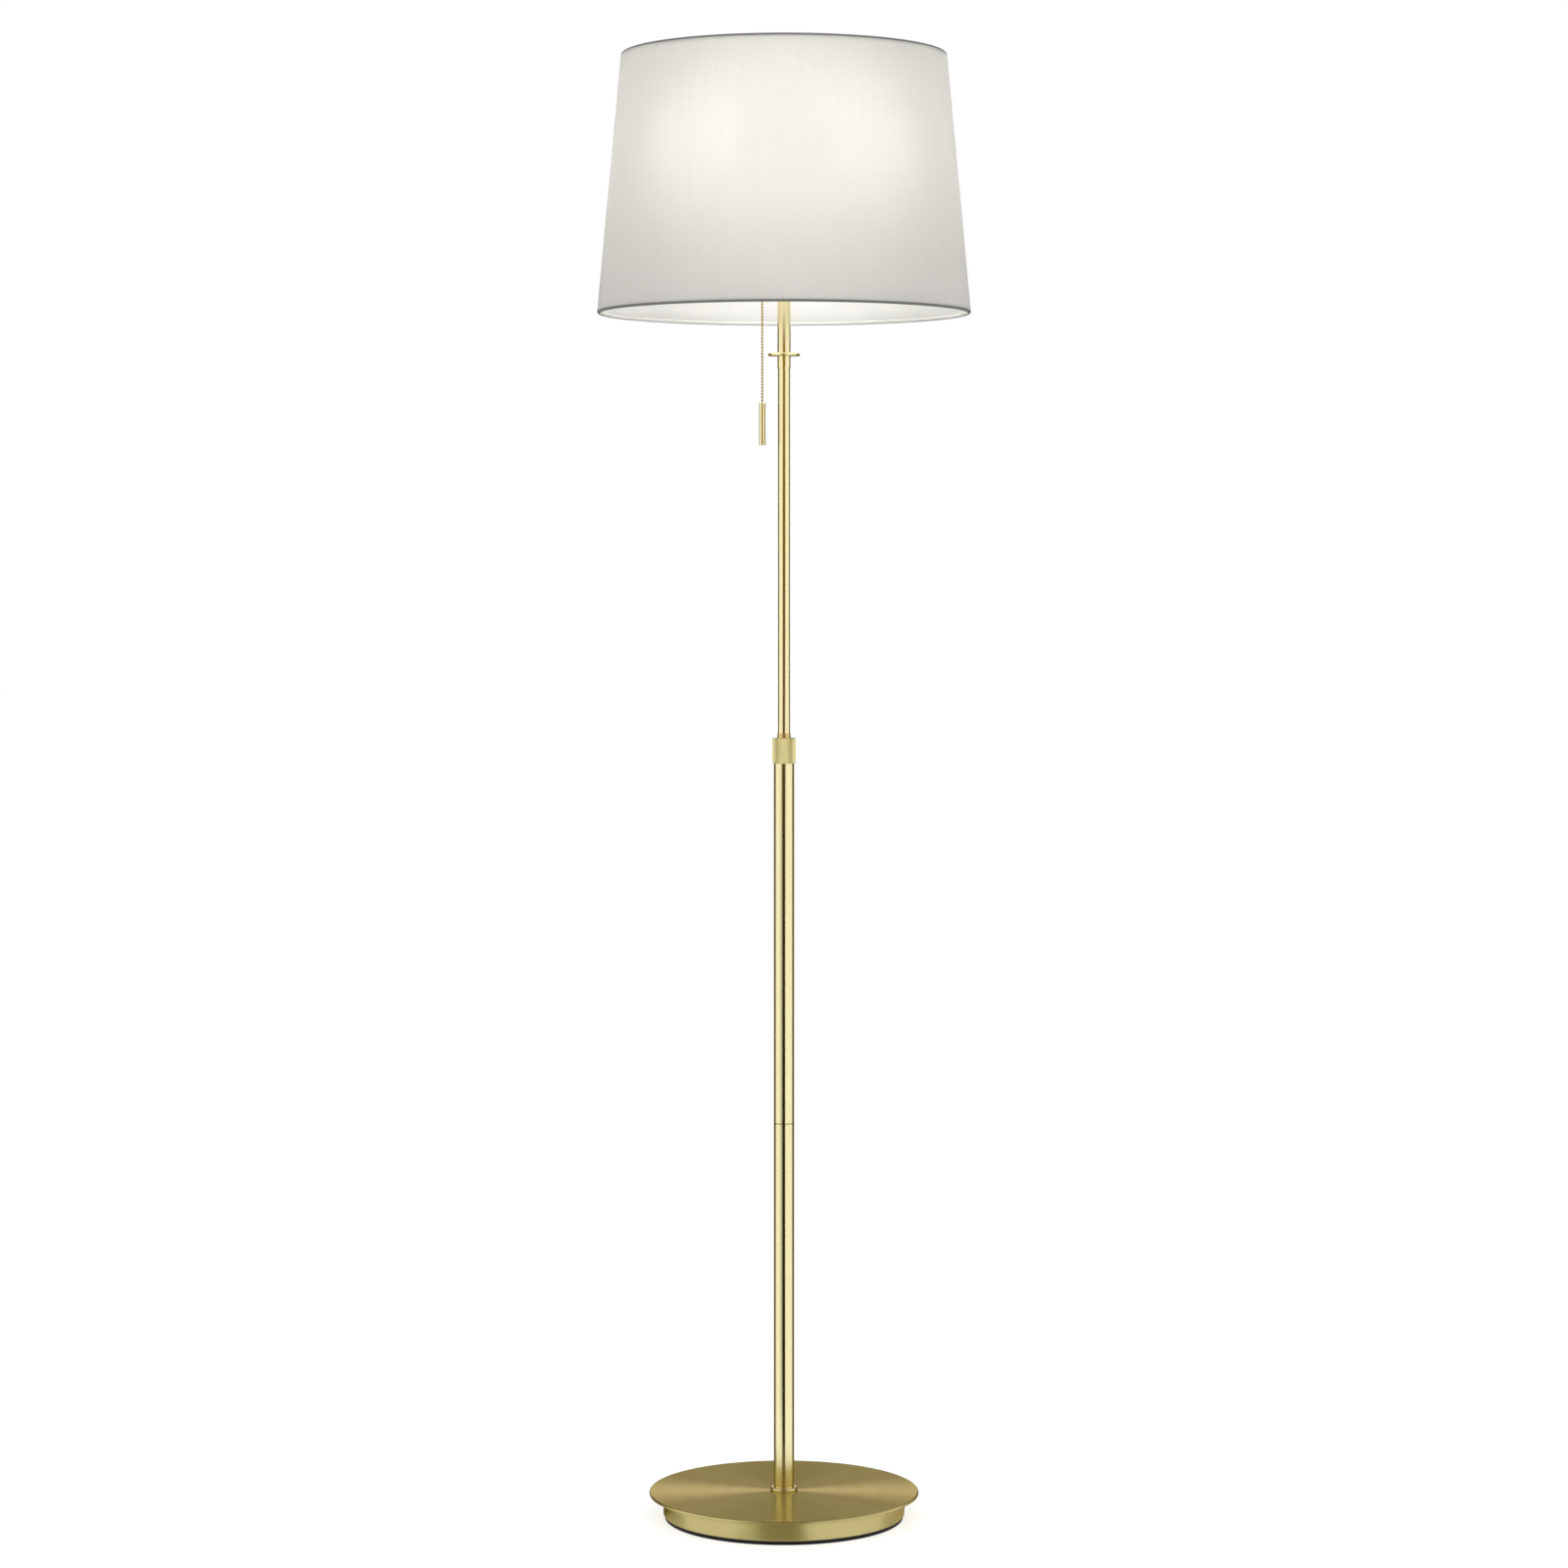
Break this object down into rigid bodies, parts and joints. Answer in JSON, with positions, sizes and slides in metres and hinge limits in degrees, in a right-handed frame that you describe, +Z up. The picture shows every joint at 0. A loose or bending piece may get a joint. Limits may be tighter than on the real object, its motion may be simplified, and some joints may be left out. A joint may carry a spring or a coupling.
{
  "type": "adjustable floor lamp",
  "caption": "Height-adjustable floor lamp: weighted round base, telescopic brass pole with knurled twist clamp, tapered drum shade over twin bulbs, pull-chain switch.",
  "frame": {"origin": "centre of the underside of the base pad, on the floor", "axes": "+Z up along the pole, -Y the front that the picture shows, +X to the right seen from the front"},
  "size_m": [0.4, 0.3999, 1.578],
  "materials": {
    "satin_brass": "satin, lacquered",
    "bead_brass": "polished",
    "turned_brass": "bare, turned",
    "black_felt": "dense felt",
    "black_steel": "black paint",
    "cast_iron": "as cast",
    "zinc_steel": "zinc plated",
    "black_nylon": "moulded",
    "white_plastic": "moulded",
    "bulb_metal": "bright",
    "frosted_glass": "frosted inside",
    "slub_fabric": "slubby weave",
    "white_wire": "white coated"
  },
  "bodies": {
    "stand": {"base_pad": "black_felt", "base_plate": "black_steel", "plate_screws": "zinc_steel", "base_ballast": "cast_iron", "base_skirt": "satin_brass", "base_disc": "satin_brass", "cord_inlet_bush": "black_nylon", "base_washer": "zinc_steel", "base_locknut": "zinc_steel", "base_nipple": "zinc_steel", "pole_flange": "satin_brass", "pole_foot_plug": "turned_brass", "lower_pole": "satin_brass", "pole_socket": "turned_brass", "pole_spigot": "turned_brass", "middle_pole": "satin_brass", "clamp_body": "turned_brass"},
    "collet": {"clamp_collet": "turned_brass"},
    "nut": {"clamp_nut": "satin_brass"},
    "slider": {"stop_collar": "black_nylon"},
    "head": {"upper_pole": "satin_brass", "head_stem": "satin_brass", "grip_disc": "satin_brass", "stem_nipple": "zinc_steel", "cluster_cup": "satin_brass", "cluster_cover": "satin_brass", "cluster_nipple": "zinc_steel", "cluster_locknut": "zinc_steel", "holder_locknuts": "zinc_steel", "left_holder_nipple": "zinc_steel", "left_holder_cap": "white_plastic", "left_holder_insert": "white_plastic", "left_screw_sleeve": "turned_brass", "left_holder_shell": "white_plastic", "left_bulb_cap": "bulb_metal", "left_bulb_globe": "frosted_glass", "right_holder_nipple": "zinc_steel", "right_holder_cap": "white_plastic", "right_holder_insert": "white_plastic", "right_screw_sleeve": "turned_brass", "right_holder_shell": "white_plastic", "right_bulb_cap": "bulb_metal", "right_bulb_globe": "frosted_glass", "switch_body": "white_plastic", "switch_bell": "satin_brass", "shade_fabric": "slub_fabric", "shade_top_ring": "white_wire", "shade_bottom_ring": "white_wire", "shade_spider": "white_wire", "shade_rod": "satin_brass", "finial": "satin_brass"},
    "plunger": {"switch_plunger": "bead_brass"},
    "clasp": {"chain_clasp": "bead_brass"},
    "chain": {"pull_chain": "bead_brass", "pull_handle": "satin_brass"}
  },
  "joints": [
    {"name": "clamp_turn", "type": "hinge", "parent": "collet", "child": "nut", "pos_m": [0, 0, 0.834], "axis": [0, 0, 1], "range_deg": [0, 271]},
    {"name": "collet_lift", "type": "slide", "parent": "stand", "child": "collet", "axis": [0, 0, 1], "range_m": [0, 0.00075]},
    {"name": "height_slide", "type": "slide", "parent": "stand", "child": "slider", "axis": [0, 0, 1], "range_m": [-0.378, 0.022]},
    {"name": "head_swivel", "type": "hinge", "parent": "slider", "child": "head", "pos_m": [0, 0, 0.742], "axis": [0, 0, 1], "range_deg": [-170, 170]},
    {"name": "switch_pull", "type": "slide", "parent": "head", "child": "plunger", "axis": [0, 0, -1], "range_m": [0, 0.006], "stiffness_N_per_m": 700, "springref_m": -0.003},
    {"name": "chain_swing", "type": "hinge", "parent": "plunger", "child": "clasp", "pos_m": [-0.0233, 0, 1.33], "axis": [1, 0, 0], "range_deg": [-20, 20]},
    {"name": "chain_sway", "type": "hinge", "parent": "clasp", "child": "chain", "pos_m": [-0.0233, 0, 1.3258], "axis": [0, 1, 0], "range_deg": [-2.5, 20]}
  ],
  "couplings": [
    {"joint": "clamp_turn", "follows": "collet_lift", "rad_per_m": 6283.2}
  ]
}
